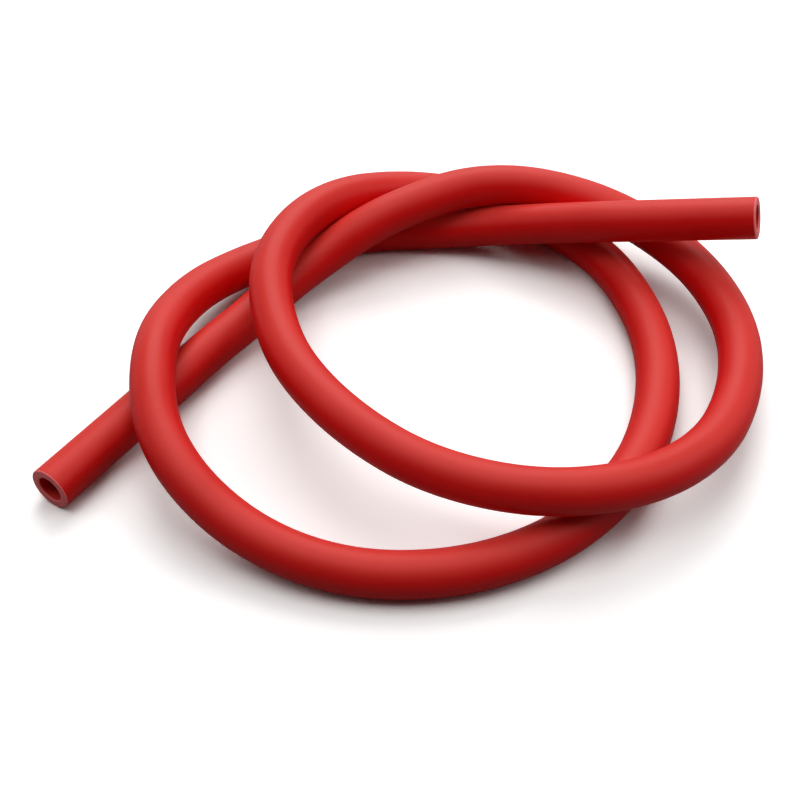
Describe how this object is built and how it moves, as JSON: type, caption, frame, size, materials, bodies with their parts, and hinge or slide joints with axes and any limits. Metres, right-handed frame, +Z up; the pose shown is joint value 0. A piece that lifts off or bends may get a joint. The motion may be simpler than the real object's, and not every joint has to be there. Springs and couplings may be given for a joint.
{
  "type": "rubber vacuum tubing",
  "caption": "Length of thick-walled red rubber tubing with a round bore and square-cut open ends, lying in loose turns; joins ports in laboratory vacuum lines.",
  "frame": {"origin": "middle of the tube's footprint, on the surface that it lies on", "axes": "+Z up, +X to the right along the longest extent, +Y to the back, as the tube lies"},
  "size_m": [0.2135, 0.1712, 0.0413],
  "materials": {
    "red_rubber": "satin extruded rubber, a little dusty"
  },
  "bodies": {
    "root": {"tube": "red_rubber"}
  },
  "joints": []
}
